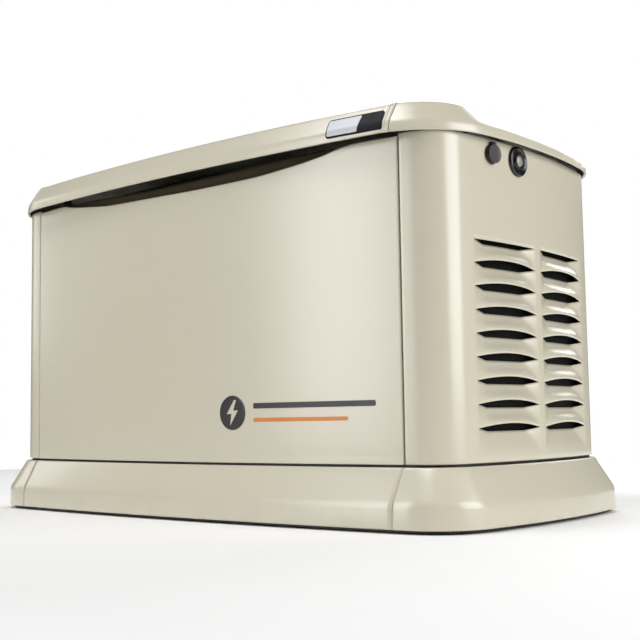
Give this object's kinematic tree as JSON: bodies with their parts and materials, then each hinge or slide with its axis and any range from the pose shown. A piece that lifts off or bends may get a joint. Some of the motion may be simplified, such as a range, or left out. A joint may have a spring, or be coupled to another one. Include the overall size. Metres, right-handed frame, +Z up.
{
  "type": "home standby generator",
  "caption": "Free-standing gas engine generator in a bowed sheet-metal cabinet with a rear-hinged roof, lift-off front door, louvred ends and a flared skirt.",
  "frame": {"origin": "centre of the footprint, on the plane that the feet stand on", "axes": "+X to the right seen from the front, along the length; the front door faces -Y; +Z up"},
  "size_m": [1.219, 0.648, 0.735],
  "materials": {
    "frame_black": "black powder coat",
    "shell_paint": "bisque powder coat on aluminium sheet, satin",
    "galvanised": "galvanised",
    "black_plastic": "moulded, fine grain",
    "lock_metal": "plated",
    "lock_cover": "moulded, satin",
    "lamp_lens": "frosted",
    "engine_paint": "satin",
    "yellow_plastic": "moulded",
    "cast_alloy": "as cast",
    "cast_iron": "machined and cast",
    "steel": "turned",
    "windings": "varnished copper and laminations",
    "filter_paint": "gloss",
    "rubber": "matt",
    "aluminised_steel": "heat dulled",
    "battery_case": "moulded polypropylene",
    "grey_plastic": "moulded, fine grain",
    "display_glass": "clear window over a grey display",
    "key_rubber": "moulded keys"
  },
  "bodies": {
    "enclosure": {"base_frame": "frame_black", "skirt_front": "shell_paint", "skirt_rear": "shell_paint", "skirt_right": "shell_paint", "skirt_left": "shell_paint", "right_end_panel": "shell_paint", "left_end_panel": "shell_paint", "back_panel": "shell_paint", "enclosure_frame": "galvanised", "divider_panel": "galvanised", "hinge_left": "galvanised", "hinge_right": "galvanised", "lock_left_housing": "black_plastic", "lock_right_housing": "black_plastic", "status_lamp_bezel": "black_plastic", "status_lamp_lens": "lamp_lens", "crankcase": "engine_paint", "cylinder_front": "cast_alloy", "cylinder_rear": "cast_alloy", "valve_cover_front": "engine_paint", "valve_cover_rear": "engine_paint", "blower_housing": "black_plastic", "alternator_housing": "engine_paint", "starter_motor": "engine_paint", "oil_filter": "filter_paint", "engine_isolators": "rubber", "alternator_isolators": "rubber", "fuel_mixer": "cast_alloy", "airbox_base": "black_plastic", "fuel_regulator": "cast_alloy", "fuel_inlet": "steel", "fuel_hose": "rubber", "muffler": "aluminised_steel", "exhaust_pipe_front": "aluminised_steel", "exhaust_pipe_rear": "aluminised_steel", "battery": "battery_case", "control_box": "grey_plastic", "display_window": "display_glass", "breaker_body": "black_plastic"},
    "roof": {"roof_center": "shell_paint", "roof_end_right": "shell_paint", "roof_end_left": "shell_paint", "roof_catch_right": "galvanised", "roof_catch_left": "galvanised", "lid_hinge_left": "galvanised", "lid_hinge_right": "galvanised"},
    "rotating_assembly": {"crankshaft": "steel", "flywheel_fan": "cast_iron", "alternator_rotor": "windings"},
    "front_door": {"front_door": "shell_paint"},
    "lock_left_cylinder": {"lock_left_cylinder": "lock_metal"},
    "lock_right_cylinder": {"lock_right_cylinder": "lock_metal"},
    "lock_left_cover": {"lock_left_cover": "lock_cover"},
    "lock_right_cover": {"lock_right_cover": "lock_cover"},
    "dipstick": {"dipstick": "yellow_plastic"},
    "airbox_cover": {"airbox_cover": "black_plastic"},
    "button_auto": {"button_auto": "key_rubber"},
    "button_manual": {"button_manual": "key_rubber"},
    "button_off": {"button_off": "key_rubber"},
    "breaker_toggle": {"breaker_toggle": "key_rubber"}
  },
  "joints": [
    {"name": "roof_open", "type": "hinge", "parent": "enclosure", "child": "roof", "pos_m": [0, 0.2955, 0.622], "axis": [-1, 0, 0], "range_deg": [0, 90]},
    {"name": "door_pull", "type": "slide", "parent": "enclosure", "child": "front_door", "axis": [0, -1, 0], "range_m": [0, 0.3]},
    {"name": "engine_spin", "type": "hinge", "parent": "enclosure", "child": "rotating_assembly", "pos_m": [0, 0, 0.25], "axis": [1, 0, 0], "continuous": true},
    {"name": "lock_right_turn", "type": "hinge", "parent": "enclosure", "child": "lock_right_cylinder", "pos_m": [0.5636, -0.132, 0.605], "axis": [0.9937, -0.1118, 0], "range_deg": [0, 90]},
    {"name": "lock_left_turn", "type": "hinge", "parent": "enclosure", "child": "lock_left_cylinder", "pos_m": [-0.5636, -0.132, 0.605], "axis": [-0.9937, -0.1118, 0], "range_deg": [-90, 0]},
    {"name": "lock_right_flap", "type": "hinge", "parent": "enclosure", "child": "lock_right_cover", "pos_m": [0.56976, -0.13269, 0.6232], "axis": [-0.1118, -0.9937, 0], "range_deg": [0, 75]},
    {"name": "lock_left_flap", "type": "hinge", "parent": "enclosure", "child": "lock_left_cover", "pos_m": [-0.56976, -0.13269, 0.6232], "axis": [-0.1118, 0.9937, 0], "range_deg": [0, 75]},
    {"name": "dipstick_pull", "type": "slide", "parent": "enclosure", "child": "dipstick", "axis": [0, 0, 1], "range_m": [0, 0.18]},
    {"name": "airbox_cover_lift", "type": "slide", "parent": "enclosure", "child": "airbox_cover", "axis": [0, 0, 1], "range_m": [0, 0.05]},
    {"name": "breaker_switch", "type": "hinge", "parent": "enclosure", "child": "breaker_toggle", "pos_m": [0.375, 0.09, 0.606], "axis": [1, 0, 0], "range_deg": [-32, 0]},
    {"name": "press_auto", "type": "slide", "parent": "enclosure", "child": "button_auto", "axis": [0, 0.6114, -0.7913], "range_m": [0, 0.0013], "stiffness_N_per_m": 800, "springref_m": -0.0005},
    {"name": "press_manual", "type": "slide", "parent": "enclosure", "child": "button_manual", "axis": [0, 0.6114, -0.7913], "range_m": [0, 0.0013], "stiffness_N_per_m": 800, "springref_m": -0.0005},
    {"name": "press_off", "type": "slide", "parent": "enclosure", "child": "button_off", "axis": [0, 0.6114, -0.7913], "range_m": [0, 0.0013], "stiffness_N_per_m": 800, "springref_m": -0.0005}
  ]
}
